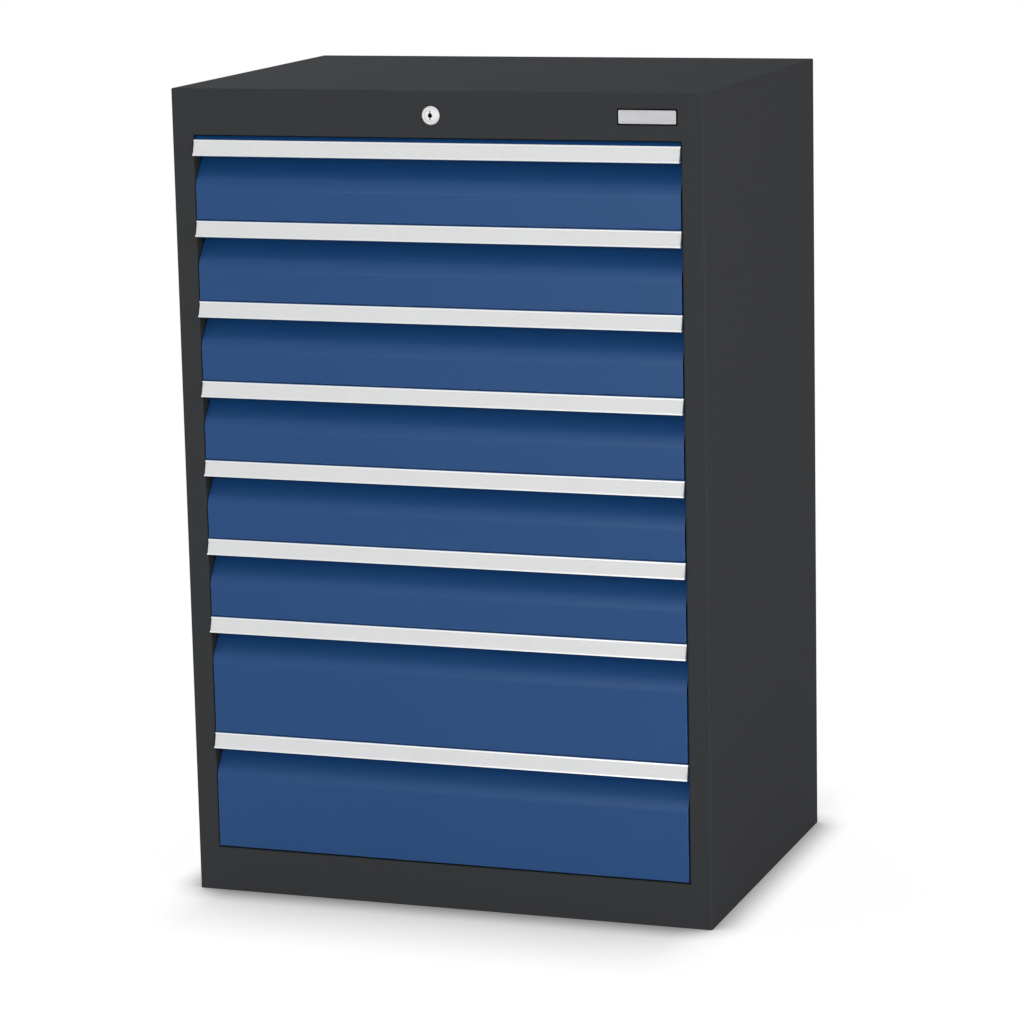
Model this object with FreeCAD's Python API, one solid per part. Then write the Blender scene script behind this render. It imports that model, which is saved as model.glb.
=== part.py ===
import FreeCAD, Part
import math
import os

# Drawer cabinet with eight full-extension drawers, a slanted strip handle across each
# front and one central lock. Millimetres, +Z up, front towards -Y, +X to the viewer's
# right. The origin is under the middle of the whole outline, on the floor.
# Inside this file y = 0 is the front plane of the case, and every piece is moved to the
# origin once, as it is written out.

Vector = FreeCAD.Vector

# Case
case_width = 680.0
case_depth = 500.0
plinth_height = 56.0        # from the floor to the drawer opening
fascia_height = 57.0        # from the drawer opening to the top
frame_strip = 27.5          # front strip on each side of the opening
strip_return = 18.0         # fold behind the inner edge of that strip
rear_strip = 18.0           # fold at the rear edge of each side
case_sheet = 1.5
bend = 1.0                  # inside radius of a folded edge
rail_return = 22.0          # fold behind the fascia and behind the plinth
rail_lip = 10.0             # second fold of the same rails
floor_fold = 20.0           # folds that stand on the floor
base_height = 40.0          # top of the base sheet
top_edge_chamfer = 0.8

# Back
back_sheet = 1.0
swage_count = 4
swage_width = 26.0
swage_depth = 1.2

# Drawers, counted from the top
small_pitch = 100.0
small_count = 6
large_pitch = 150.0
large_count = 2
sill_gap = 2.0              # plinth to the lowest front
lintel_gap = 4.0            # fascia to the top of the first drawer's space
side_gap = 2.0              # each end of a front to the frame strip

# Drawer front, one folded sheet
front_sheet = 1.2
front_depth = 30.0
front_top_gap = 1.0         # top fold to the front above
front_lip_gap = 1.0         # front edge of the top fold behind the front plane
front_side_fold = 20.0
front_side_relief = 3.0     # the side folds stop this far above the lower fold
front_rear_fold = 20.0
recess_start = 63.6         # the finger recess begins this far below the drawer's top
recess_radius = 28.0
recess_angle = 38.0
recess_corner = 4.0
top_lip_depth = 4.0         # turned-up lip of the top front behind the fascia's face
top_lip_gap = 1.2           # that lip to the fascia's fold

# Handle, an extruded strip that holds the label, seated under the front's top fold
handle_drop = 18.5
handle_reach = 4.5          # lower edge in front of the case
handle_rim = 2.0
handle_lip_cover = 0.8      # the rim covers this much of the label's edge
handle_rim_depth = 0.7
handle_slot_depth = 1.2
handle_wall = 1.5
handle_leg = 14.0
handle_finger_lip = 4.0
label_thickness = 0.9
label_fit = 0.2

# Tray
tray_sheet = 1.0
tray_lift = 8.0             # tray floor above the drawer's own lower edge
tray_drop = 12.0            # tray rim below the drawer's top
tray_rear_gap = 65.5        # tray to the back sheet
tray_hem = 4.0
slot_pitch = 85.0
slot_width = 2.4
slot_end_margin = 40.0
slot_floor_margin = 18.0    # slot above the runner channel's middle
slot_rim_margin = 12.0

# Runners
plate_gap = 0.9             # middle plate to the edge of the opening
plate_thickness = 2.0
plate_height = 25.0
plate_front_gap = 3.0       # middle plate behind the drawer front
plate_rear_gap = 12.0       # middle plate before the end of the case runner
plate_corner = 6.0
channel_gap = 0.6           # lips of both channels to the middle plate
channel_depth = 8.0
channel_sheet = 1.2
runner_level = 30.0         # roller axes above the drawer's own lower edge
roller_diameter = 18.0
roller_sides = 10           # flats that stand for the round rim
roller_clearance = 0.3      # roller to the channel, above and below
roller_end_clearance = 0.6  # roller to the channel's web
roller_margin = 3.0         # roller to the end of what carries it
runner_front_gap = 4.0      # case runner behind the fold of the frame strip
runner_rear_gap = 28.5      # case runner to the back sheet

# Runner posts
post_face = 30.0
post_flange = 10.0
post_front_place = 95.0     # middle of the front posts behind the front plane
post_rear_place = 57.0      # middle of the rear posts before the back sheet
hook_width = 8.0
hook_thickness = 1.5
hook_drop = 5.0
hook_fit = 0.3

# Lock
lock_drop = 29.5            # lock axis below the top of the case
lock_flange_diameter = 23.0
lock_flange_thickness = 2.0
lock_flange_chamfer = 0.8
lock_barrel_diameter = 19.0
lock_barrel_length = 28.0
lock_hole_fit = 0.2
lock_nut_width = 24.0
lock_nut_thickness = 4.0
plug_diameter = 12.0
plug_fit = 0.2
plug_tang = 7.0
keyway_height = 8.5
keyway_width = 1.3
keyway_round = 2.8
keyway_depth = 6.0
cam_radius = 8.5
cam_swing = 90.0
cam_thickness = 3.0
cam_gap = 0.5
cam_margin = 2.5            # metal round the tang and the pin
cam_pin_diameter = 4.0
cam_screw_width = 7.0       # across flats
cam_screw_height = 2.8

# Locking gear behind the fascia and beside the front posts
pin_play = 0.5
slide_gap = 1.2             # cam to slide bar, and slide bar to the arm behind it
slide_thickness = 3.0
slide_land = 6.0            # metal under the fork
slide_wall = 4.0            # metal round the sloping slot
slide_left_end = 14.0
slide_screw_gap = 1.0
slope_pin_diameter = 5.0
slope_pin_inset = 1.5       # sloping pin outside the edge of the opening
slope_pin_drop = 14.5       # sloping pin below the lock axis
lock_bar_gap = 3.5          # bar to the case runners
lock_bar_thickness = 3.0
lock_bar_width = 16.0
lock_bar_foot = 32.0        # lower end of the bar above the lowest front's edge
arm_thickness = 3.0
arm_height = 16.0
finger_height = 8.0
finger_thickness = 3.0
finger_inset = 4.0          # finger behind the front edge of the bar
finger_level = 45.5         # lower edge above the drawer's own lower edge
finger_tray_gap = 4.5
lug_thickness = 3.0
lug_reach = 8.5
lug_height = 8.0
lug_level = 57.0            # lower edge above the drawer's own lower edge
lug_gap = 1.5               # finger to the lug behind it
guide_sheet = 1.6
guide_play = 0.4
guide_height = 15.0
guide_flange = 10.0
guide_level = 78.0
slide_guide_width = 16.0
slide_guide_shares = (0.22, 0.77)   # of the way from the lock to the edge of the opening
slide_guide_lip = 5.0
slide_guide_flange = 14.0

# Nameplate, bare
plate_width = 73.0
plate_tall = 18.0
plate_sheet = 1.0
plate_side_margin = 4.5     # to the inner edge of the frame strip
plate_drop = 28.5           # middle of the plate below the top of the case
plate_round = 1.5

# What follows from them
pitches = [small_pitch] * small_count + [large_pitch] * large_count
drawer_count = len(pitches)
opening_bottom = plinth_height
opening_top = opening_bottom + sill_gap + sum(pitches) + lintel_gap
case_height = opening_top + fascia_height
underside = case_height - case_sheet
half_width = case_width / 2
inner_half = half_width - case_sheet
opening_half = half_width - frame_strip
front_half = opening_half - side_gap
back_front_face = case_depth - case_sheet - back_sheet
corner_radius = bend + case_sheet

plate_outer = opening_half - plate_gap
plate_inner = plate_outer - plate_thickness
tray_channel_lip = plate_inner - channel_gap
tray_half = tray_channel_lip - channel_depth
case_channel_lip = plate_outer + channel_gap
runner_web = case_channel_lip + channel_depth
channel_clear = roller_diameter + 2 * roller_clearance
channel_height = channel_clear + 2 * channel_sheet
roller_width = channel_gap + channel_depth - channel_sheet - roller_end_clearance

tray_front = front_depth
tray_rear = back_front_face - tray_rear_gap
travel = tray_rear - tray_front - 2 * tray_sheet
runner_front = strip_return + runner_front_gap
runner_rear = back_front_face - runner_rear_gap
middle_front = front_depth + plate_front_gap
middle_rear = runner_rear - plate_rear_gap
roller_reach = roller_diameter / 2 + roller_margin

lock_height = case_height - lock_drop
cam_front = lock_barrel_length + cam_gap
cam_rear = cam_front + cam_thickness
slide_front = cam_rear + slide_gap
slide_rear = slide_front + slide_thickness
cam_angle = cam_swing / 2
slide_travel = 2 * cam_radius * math.sin(math.radians(cam_angle))
slope_pin_x = opening_half + slope_pin_inset
slope_pin_z = lock_height - slope_pin_drop
bar_inner = runner_web + lock_bar_gap
bar_outer = bar_inner + lock_bar_thickness
arm_front = slide_rear + slide_gap
bar_front = arm_front + arm_thickness
bar_rear = bar_front + lock_bar_width
finger_front = bar_front + finger_inset
lug_front = finger_front + finger_thickness + lug_gap

front_plane = (handle_reach - case_depth) / 2


# Shapes

def arc_points(before, corner, after, radius):
    """First, middle and last point of the round corner between two straight runs."""
    back = before - corner
    ahead = after - corner
    back.normalize()
    ahead.normalize()
    half = back.getAngle(ahead) / 2
    reach = radius / math.tan(half)
    middle = back + ahead
    middle.normalize()
    inset = radius / math.sin(half) - radius
    return corner + back * reach, corner + middle * inset, corner + ahead * reach


def rounded_edges(points, closed, flats_below=0.0):
    """Lines and arcs through points given as (u, v, corner radius). Corners tighter
    than flats_below get two flats in place of the arc."""
    places = [Vector(u, v, 0) for u, v, radius in points]
    count = len(points)
    arcs = {}
    for i, (u, v, radius) in enumerate(points):
        inside = closed or 0 < i < count - 1
        if inside and radius > 0:
            arcs[i] = arc_points(places[i - 1], places[i], places[(i + 1) % count], radius)
    edges = []
    for i in range(count if closed else count - 1):
        following = (i + 1) % count
        start = arcs[i][2] if i in arcs else places[i]
        end = arcs[following][0] if following in arcs else places[following]
        if start.distanceToPoint(end) > 1e-6:
            edges.append(Part.makeLine(start, end))
        if following in arcs:
            first, middle, final = arcs[following]
            if points[following][2] < flats_below:
                edges.append(Part.makeLine(first, middle))
                edges.append(Part.makeLine(middle, final))
            else:
                edges.append(Part.Arc(first, middle, final).toShape())
    return edges


def closed_face(edges):
    return Part.Face(Part.Wire(Part.__sortEdges__(edges)))


def plate_face(points, flats_below=0.0):
    """A flat outline with round corners."""
    return closed_face(rounded_edges(points, True, flats_below))


def sheet_face(points, thickness, flats_below=0.0):
    """The section of a folded sheet. The points (u, v, inside radius) run along one
    side of it, and the metal lies to their left. A radius of 0 is a sharp corner."""
    near = []
    far = []
    last = len(points) - 1
    for i, (u, v, radius) in enumerate(points):
        place = Vector(u, v, 0)
        before = place - Vector(*points[i - 1][:2], 0) if i > 0 else None
        after = Vector(*points[i + 1][:2], 0) - place if i < last else None
        if before is None:
            before = after
        if after is None:
            after = before
        before.normalize()
        after.normalize()
        left_before = Vector(-before.y, before.x, 0)
        left_after = Vector(-after.y, after.x, 0)
        middle = left_before + left_after
        middle.normalize()
        shift = thickness / middle.dot(left_after)
        turn = before.x * after.y - before.y * after.x
        near_radius = radius + thickness if turn > 0 else radius
        far_radius = radius if turn > 0 else radius + thickness
        if radius == 0:
            near_radius = far_radius = 0
        moved = place + middle * shift
        near.append((u, v, near_radius))
        far.append((moved.x, moved.y, far_radius))
    edges = rounded_edges(near, False, flats_below) + rounded_edges(far, False, flats_below)
    for one, other in ((near[0], far[0]), (near[-1], far[-1])):
        edges.append(Part.makeLine(Vector(*one[:2], 0), Vector(*other[:2], 0)))
    return closed_face(edges)


def along_x(face, start, end):
    """A section drawn in (y, z), drawn out from x = start to x = end."""
    solid = face.extrude(Vector(0, 0, end - start))
    solid.rotate(Vector(0, 0, 0), Vector(1, 1, 1), 120)
    solid.translate(Vector(start, 0, 0))
    return solid


def along_y(face, start, end):
    """An outline drawn in (x, z), drawn out from y = start to y = end."""
    solid = face.extrude(Vector(0, 0, end - start))
    solid.rotate(Vector(0, 0, 0), Vector(1, 0, 0), 90)
    solid.translate(Vector(0, end, 0))
    return solid


def along_z(face, start, end):
    """An outline drawn in (x, y), drawn out from z = start to z = end."""
    solid = face.extrude(Vector(0, 0, end - start))
    solid.translate(Vector(0, 0, start))
    return solid


def block(x0, x1, y0, y1, z0, z1):
    return Part.makeBox(x1 - x0, y1 - y0, z1 - z0, Vector(x0, y0, z0))


def rod(x, z, y0, y1, diameter):
    """A round bar along Y."""
    return Part.makeCylinder(diameter / 2, y1 - y0, Vector(x, y0, z), Vector(0, 1, 0))


def mirrored(shape):
    """The same piece on the other side of the cabinet."""
    return shape.mirror(Vector(0, 0, 0), Vector(1, 0, 0))


def merged(first, *others):
    return first.fuse(list(others)).removeSplitter()


def group(pieces):
    return Part.makeCompound(pieces)


# Case panels

def right_side_panel():
    """Side, front strip with its fold, and rear fold, in one sheet. Beside the fascia
    and the plinth the strip has no fold, because the rails are welded to its edge."""
    rear = [(half_width, 0, bend), (half_width, case_depth, bend),
            (half_width - rear_strip, case_depth, 0)]
    strip = [(opening_half, strip_return, 0), (opening_half, 0, bend)]
    plain = sheet_face([(opening_half, 0, 0)] + rear, case_sheet, flats_below=corner_radius)
    folded = sheet_face(strip + rear, case_sheet, flats_below=corner_radius)
    return merged(along_z(folded, opening_bottom, opening_top),
                  along_z(plain, 0, opening_bottom),
                  along_z(plain, opening_top, underside))


def top_panel():
    outline = [(-half_width, 0, corner_radius), (half_width, 0, corner_radius),
               (half_width, case_depth, corner_radius), (-half_width, case_depth, corner_radius)]
    plate = along_z(plate_face(outline), underside, case_height)
    rim = [edge for edge in plate.Edges if edge.BoundBox.ZMin > case_height - 0.01]
    return plate.makeChamfer(top_edge_chamfer, rim)


def front_top_rail():
    """Fascia with a fold over the drawer opening, and the hole for the lock."""
    section = sheet_face([(0, underside, 0), (0, opening_top, bend), (rail_return, opening_top, 0),
                          (rail_return, opening_top + rail_lip, 0)],
                         case_sheet, flats_below=corner_radius)
    hole = rod(0, lock_height, -1, case_sheet + 1, lock_barrel_diameter + 2 * lock_hole_fit)
    return along_x(section, -opening_half, opening_half).cut(hole)


def front_bottom_rail():
    """Plinth with a fold under the lowest drawer and one on the floor."""
    section = sheet_face([(rail_return, opening_bottom - rail_lip, 0), (rail_return, opening_bottom, 0),
                          (0, opening_bottom, bend), (0, 0, 0), (floor_fold, 0, 0)],
                         case_sheet, flats_below=corner_radius)
    return along_x(section, -opening_half, opening_half)


def base_panel():
    section = sheet_face([(inner_half - floor_fold, 0, 0), (inner_half, 0, 0),
                          (inner_half, base_height, 0), (-inner_half, base_height, 0),
                          (-inner_half, 0, 0), (-inner_half + floor_fold, 0, 0)], case_sheet)
    return along_y(section, corner_radius, back_front_face)


def back_panel():
    """Back sheet with upright swages pressed towards the rear, behind the side folds."""
    half = inner_half - bend
    section = [(-half, back_front_face, 0)]
    swage_pitch = 2 * half / swage_count
    ramp = 2 * swage_depth
    for i in range(swage_count):
        middle = -half + swage_pitch * (i + 0.5)
        foot = swage_width / 2
        crest = foot - ramp
        section += [(middle - foot, back_front_face, 0),
                    (middle - crest, back_front_face + swage_depth, 0),
                    (middle + crest, back_front_face + swage_depth, 0),
                    (middle + foot, back_front_face, 0)]
    section.append((half, back_front_face, 0))
    return along_z(sheet_face(section, back_sheet), 0, underside)


# Runner posts and case runners

def post(middle_y):
    """A hat section welded to the right side, with one slot for each case runner."""
    face_from = middle_y - post_face / 2
    face_to = middle_y + post_face / 2
    inside = runner_web + case_sheet
    section = sheet_face([(inner_half, face_from - post_flange, 0), (inner_half, face_from + case_sheet, 0),
                          (inside, face_from + case_sheet, 0), (inside, face_to - case_sheet, 0),
                          (inner_half, face_to - case_sheet, 0), (inner_half, face_to + post_flange, 0)],
                         case_sheet)
    solid = along_z(section, base_height, underside)
    slots = []
    for level in drawer_levels():
        top = level + runner_level + hook_thickness / 2 + hook_fit
        bottom = level + runner_level - hook_thickness / 2 - hook_drop - hook_fit
        slots.append(block(runner_web - 1, runner_web + case_sheet + 1,
                           middle_y - hook_width / 2 - hook_fit, middle_y + hook_width / 2 + hook_fit,
                           bottom, top))
    return solid.cut(slots)


def post_places():
    return post_front_place, back_front_face - post_rear_place


def runner_posts():
    right = [post(place) for place in post_places()]
    return group(right + [mirrored(one) for one in right])


def channel_section(lip, web, middle_z, sheet):
    """A channel whose open side is at x = lip and whose web is at x = web."""
    half = channel_clear / 2 + sheet
    points = [(lip, middle_z + half, 0), (web, middle_z + half, 0),
              (web, middle_z - half, 0), (lip, middle_z - half, 0)]
    if web > lip:
        points.reverse()
    return sheet_face(points, sheet)


def case_runner(level):
    """Right case runner: a channel open to the drawer, hooked into the slots of both posts."""
    middle_z = level + runner_level
    solid = along_y(channel_section(case_channel_lip, runner_web, middle_z, channel_sheet),
                    runner_front, runner_rear)
    hooks = []
    reach = case_sheet + hook_fit + hook_thickness
    for place in post_places():
        outline = [(runner_web, middle_z + hook_thickness / 2, 0),
                   (runner_web, middle_z - hook_thickness / 2, 0),
                   (runner_web + reach - hook_thickness, middle_z - hook_thickness / 2, 0),
                   (runner_web + reach - hook_thickness, middle_z - hook_thickness / 2 - hook_drop, 0),
                   (runner_web + reach, middle_z - hook_thickness / 2 - hook_drop, 0),
                   (runner_web + reach, middle_z + hook_thickness / 2, 0)]
        hooks.append(along_y(plate_face(outline), place - hook_width / 2, place + hook_width / 2))
    return merged(solid, *hooks)


def case_runners():
    return group([case_runner(level) for level in drawer_levels()])


# Middle runners: two plates, each with rollers in the case runner behind
# and rollers in the tray's channel in front.

def roller(y, z, start, end):
    """A roller seated on the plate, with few flats because there are so many."""
    turns = [math.radians(360 * i / roller_sides) for i in range(roller_sides)]
    outline = [(y + roller_diameter / 2 * math.cos(turn), z + roller_diameter / 2 * math.sin(turn), 0)
               for turn in turns]
    return along_x(plate_face(outline), start, end)


def outer_roller_places():
    """The front one is still in the case runner when the drawer is out."""
    return runner_front + travel / 2 + roller_reach, middle_rear - roller_reach


def inner_roller_places():
    """The rear one is still in the tray's channel when the drawer is out."""
    return middle_front + roller_reach, tray_rear - travel / 2 - roller_reach


def middle_runners():
    z = runner_level
    low = z - plate_height / 2
    high = z + plate_height / 2
    outline = [(middle_front, low, plate_corner), (middle_rear, low, plate_corner),
               (middle_rear, high, plate_corner), (middle_front, high, plate_corner)]
    right = [along_x(plate_face(outline, flats_below=2 * plate_corner), plate_inner, plate_outer)]
    right += [roller(y, z, plate_outer, plate_outer + roller_width) for y in outer_roller_places()]
    right += [roller(y, z, plate_inner - roller_width, plate_inner) for y in inner_roller_places()]
    return group(right + [mirrored(one) for one in right])


# Drawers, modelled with their own lower edge at z = 0

def drawer_front(pitch, topmost):
    """The sheet of a front. The topmost one has a lip turned up into the space under
    the fascia, the others end at the edge of their top fold."""
    top = pitch - front_top_gap - front_sheet
    edge = [(front_lip_gap, top, 0)]
    if topmost:
        lip_top = pitch + lintel_gap - top_lip_gap
        edge = [(top_lip_depth, lip_top, 0), (top_lip_depth, top, bend)]
    slope = math.radians(recess_angle)
    tangent = recess_radius * math.tan(slope / 2)
    knee = pitch - recess_start + tangent
    wall = front_depth - front_sheet
    slope_end = knee + wall / math.tan(slope)
    section = sheet_face(edge + [(wall, top, 0), (wall, slope_end, recess_corner),
                                 (0, knee, recess_radius - front_sheet), (0, 0, bend),
                                 (front_depth, 0, 0), (front_depth, front_rear_fold, 0)],
                         front_sheet, flats_below=recess_radius / 2)
    face_from = front_side_relief
    face_to = pitch - recess_start
    corner = front_side_fold / 2
    inner = front_half - corner
    fold = sheet_face([(inner, 0, 0), (front_half, 0, bend), (front_half, front_side_fold, 0)],
                      front_sheet, flats_below=recess_radius / 2)
    right_fold = along_z(fold, face_from, face_to)
    left_end = block(-front_half, -inner, 0, front_sheet, face_from, face_to)
    right_end = block(inner, front_half, 0, front_sheet, face_from, face_to)
    body = along_x(section, -front_half, front_half).cut([left_end, right_end])
    return merged(body, right_fold, mirrored(right_fold))


def handle_points(pitch, places):
    """Points given along the strip from its top edge, and in from its face, as (y, z)."""
    slant = math.hypot(handle_reach, handle_drop)
    down = (-handle_reach / slant, -handle_drop / slant)
    inwards = (-down[1], down[0])
    top = pitch - front_top_gap - front_sheet
    return [(down[0] * a + inwards[0] * b, top + down[1] * a + inwards[1] * b, radius)
            for a, b, radius in places]


def handle(pitch):
    """A slanted strip with two rims that hold the label, a leg under the top fold of
    the front, and a lip for the fingers along its lower edge."""
    slant = math.hypot(handle_reach, handle_drop)
    floor = handle_rim_depth + handle_slot_depth
    back = floor + handle_wall
    rim = handle_rim
    groove = rim - handle_lip_cover
    strip = handle_points(pitch, [
        (0, 0, 0), (rim, 0, 0), (rim, handle_rim_depth, 0), (groove, handle_rim_depth, 0),
        (groove, floor, 0), (slant - groove, floor, 0), (slant - groove, handle_rim_depth, 0),
        (slant - rim, handle_rim_depth, 0), (slant - rim, 0, 0), (slant, 0, 0),
        (slant, back, 0), (0, back, 0)])
    leg_top = pitch - front_top_gap - front_sheet
    leg_from = handle_rim_depth
    leg = [(leg_from, leg_top - handle_wall, 0), (handle_leg, leg_top - handle_wall, 0),
           (handle_leg, leg_top, 0), (leg_from, leg_top, 0)]
    lip_from = strip[9][0] + 2 * handle_wall
    lip_z = strip[9][1]
    lip = [(lip_from, lip_z, 0), (lip_from + handle_finger_lip, lip_z, 0),
           (lip_from + handle_finger_lip, lip_z + handle_wall, 0),
           (lip_from, lip_z + handle_wall, 0)]
    pieces = [along_x(plate_face(outline), -front_half, front_half) for outline in (strip, leg, lip)]
    return merged(*pieces)


def label(pitch):
    """The strip behind both rims of the handle."""
    slant = math.hypot(handle_reach, handle_drop)
    edge = handle_rim - handle_lip_cover + label_fit
    front = handle_rim_depth + label_fit / 2
    outline = handle_points(pitch, [(edge, front, 0), (slant - edge, front, 0),
                                    (slant - edge, front + label_thickness, 0),
                                    (edge, front + label_thickness, 0)])
    return along_x(plate_face(outline), -front_half, front_half)


def tray(pitch, slot_offsets):
    """Welded tray: floor, front, back and two slotted sides with a hem, a runner channel
    on each side and, on the right, the lug that the lock holds."""
    rim = pitch - tray_drop
    inner = tray_half - tray_sheet
    floor = block(-inner, inner, tray_front + tray_sheet, tray_rear - tray_sheet,
                  tray_lift, tray_lift + tray_sheet)
    front = block(-inner, inner, tray_front, tray_front + tray_sheet, tray_lift, rim)
    back = block(-inner, inner, tray_rear - tray_sheet, tray_rear, tray_lift, rim)
    side_section = sheet_face([(tray_half, tray_lift, 0), (tray_half, rim - tray_sheet, 0),
                               (tray_half + tray_hem, rim - tray_sheet, 0),
                               (tray_half + tray_hem, rim - tray_hem, 0)], tray_sheet)
    side = along_y(side_section, tray_front, tray_rear)
    low = runner_level + slot_floor_margin
    high = rim - slot_rim_margin
    slots = [block(inner - 1, tray_half + 1, y - slot_width / 2, y + slot_width / 2, low, high)
             for y in slot_offsets]
    side = side.cut(slots)
    channel = along_y(channel_section(tray_channel_lip, tray_half, runner_level, channel_sheet),
                      tray_front, tray_rear)
    lug = block(tray_half, tray_half + lug_reach, lug_front, lug_front + lug_thickness,
                lug_level, lug_level + lug_height)
    return group([floor, front, back, side, mirrored(side), channel, mirrored(channel), lug])


def slot_places():
    """Rows of slots for dividers, evenly about the middle of the tray."""
    free = tray_rear - tray_front - 2 * slot_end_margin
    steps = int(free / slot_pitch)
    middle = (tray_front + tray_rear) / 2
    return [middle + slot_pitch * (i - steps / 2) for i in range(steps + 1)]


def drawer_levels():
    """Lower edge of each drawer, from the top one down."""
    levels = []
    level = opening_top - lintel_gap
    for pitch in pitches:
        level -= pitch
        levels.append(level)
    return levels


# Lock and locking gear. The cam pushes the slide bar to the right, whose sloping slot
# lifts the upright bar, whose fingers then stand in front of the drawers' lugs.

def lock_housing():
    """Round body with a flange on the fascia, bored for the plug."""
    flange = rod(0, lock_height, -lock_flange_thickness, 0, lock_flange_diameter)
    rim = [edge for edge in flange.Edges
           if edge.BoundBox.YMax < 0.01 - lock_flange_thickness]
    flange = flange.makeChamfer(lock_flange_chamfer, rim)
    barrel = rod(0, lock_height, 0, lock_barrel_length, lock_barrel_diameter)
    bore = rod(0, lock_height, -lock_flange_thickness - 1, lock_barrel_length + 1,
               plug_diameter + 2 * plug_fit)
    return merged(flange, barrel).cut(bore)


def lock_nut():
    nut = along_y(plate_face(hexagon(0, lock_height, lock_nut_width)), case_sheet,
                  case_sheet + lock_nut_thickness)
    return nut.cut(rod(0, lock_height, 0, lock_barrel_length, lock_barrel_diameter + lock_hole_fit))


def lock_plug():
    """Plug with its keyway upright at rest, and a square tang for the cam."""
    front = -lock_flange_thickness
    body = rod(0, lock_height, front, cam_front, plug_diameter)
    half = plug_tang / 2
    tang = block(-half, half, cam_front, cam_rear, lock_height - half, lock_height + half)
    keyway = block(-keyway_width / 2, keyway_width / 2, front - 1, front + keyway_depth,
                   lock_height - keyway_height / 2, lock_height + keyway_height / 2)
    centre = rod(0, lock_height, front - 1, front + keyway_depth, keyway_round)
    return merged(body, tang).cut([keyway, centre])


def lock_cam():
    """Flat lever on the tang, with the pin that works in the fork of the slide bar."""
    half = plug_tang / 2
    pin_z = lock_height - cam_radius
    wide = half + cam_margin
    narrow = cam_pin_diameter / 2 + cam_margin
    outline = [(-wide, lock_height + wide, cam_margin), (-wide, lock_height - half, cam_margin),
               (-narrow, pin_z - narrow, cam_margin), (narrow, pin_z - narrow, cam_margin),
               (wide, lock_height - half, cam_margin), (wide, lock_height + wide, cam_margin)]
    plate = along_y(plate_face(outline, flats_below=2 * cam_margin), cam_front, cam_rear)
    pin = rod(0, pin_z, cam_rear, slide_rear + 1, cam_pin_diameter)
    lever = merged(plate, pin)
    lever.rotate(Vector(0, 0, lock_height), Vector(0, 1, 0), cam_angle)
    hole = block(-half, half, cam_front - 1, cam_rear + 1, lock_height - half, lock_height + half)
    return lever.cut(hole)


def hexagon(x, z, width):
    """Corners of a hexagon with two of them level, from its width across flats."""
    corner = width / math.sqrt(3)
    turns = [math.radians(60 * i) for i in range(6)]
    return [(x + corner * math.cos(turn), z + corner * math.sin(turn), 0) for turn in turns]


def lock_cam_screw():
    outline = hexagon(0, lock_height, cam_screw_width)
    return along_y(plate_face(outline), cam_rear, cam_rear + cam_screw_height)


def lock_slide():
    """Slide bar with a fork for the cam's pin and a sloping slot for the upright bar's pin."""
    fork = cam_pin_diameter / 2 + pin_play
    slot = slope_pin_diameter / 2 + pin_play
    pin_x = cam_radius * math.sin(math.radians(cam_angle))
    fork_floor = lock_height - cam_radius - fork
    low = fork_floor - slide_land
    high = lock_height - cam_screw_width / 2 - slide_screw_gap
    wide_low = slope_pin_z - slot - slide_wall
    wide_high = slope_pin_z + slide_travel + slot + slide_wall
    wide_from = slope_pin_x - slide_travel - slot - slide_wall
    wide_to = slope_pin_x + slot + slide_wall
    corner = slide_wall / 2
    outline = [(-slide_left_end, low, corner), (wide_from, low, 0), (wide_from, wide_low, corner),
               (wide_to, wide_low, corner), (wide_to, wide_high, corner),
               (wide_from, wide_high, corner), (wide_from, high, 0), (-pin_x + fork, high, 0),
               (-pin_x + fork, fork_floor, corner), (-pin_x - fork, fork_floor, corner),
               (-pin_x - fork, high, 0), (-slide_left_end, high, corner)]
    bar = along_y(plate_face(outline, flats_below=slide_wall), slide_front, slide_rear)
    ends = [rod(slope_pin_x - shift, slope_pin_z + shift, slide_front - 1, slide_rear + 1, 2 * slot)
            for shift in (0, slide_travel)]
    length = slide_travel * math.sqrt(2)
    run = block(-length, 0, slide_front - 1, slide_rear + 1, -slot, slot)
    run.rotate(Vector(0, 0, 0), Vector(0, 1, 0), 45)
    run.translate(Vector(slope_pin_x, 0, slope_pin_z))
    return bar.cut(ends + [run])


def lock_bar():
    """Upright bar, an arm with a pin welded on at its top, and one finger for each drawer."""
    low = opening_bottom + sill_gap + lock_bar_foot
    arm_low = slope_pin_z - arm_height / 2
    arm_high = slope_pin_z + arm_height / 2
    arm_from = slope_pin_x - arm_height / 2
    bar = block(bar_inner, bar_outer, bar_front, bar_rear, low, arm_high)
    outline = [(arm_from, arm_low, arm_height / 4), (bar_outer, arm_low, 0), (bar_outer, arm_high, 0),
               (arm_from, arm_high, arm_height / 4)]
    arm = along_y(plate_face(outline, flats_below=arm_height), arm_front, bar_front)
    pin = rod(slope_pin_x, slope_pin_z, slide_front - 1, arm_front, slope_pin_diameter)
    fingers = [block(tray_half + finger_tray_gap, bar_inner,
                     finger_front, finger_front + finger_thickness,
                     level + finger_level, level + finger_level + finger_height)
               for level in drawer_levels()]
    return group([bar, merged(arm, pin)] + fingers)


def lock_bar_guides():
    """Three straps on the right side, round the upright bar."""
    front = bar_front - guide_play
    rear = bar_rear + guide_play
    bridge = bar_inner - guide_play
    section = sheet_face([(inner_half, front - guide_sheet - guide_flange, 0), (inner_half, front, 0),
                          (bridge, front, 0), (bridge, rear, 0),
                          (inner_half, rear, 0), (inner_half, rear + guide_sheet + guide_flange, 0)],
                         guide_sheet)
    levels = drawer_levels()
    chosen = (levels[1], levels[drawer_count // 2], levels[-1])
    return group([along_z(section, level + guide_level, level + guide_level + guide_height)
                  for level in chosen])


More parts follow.
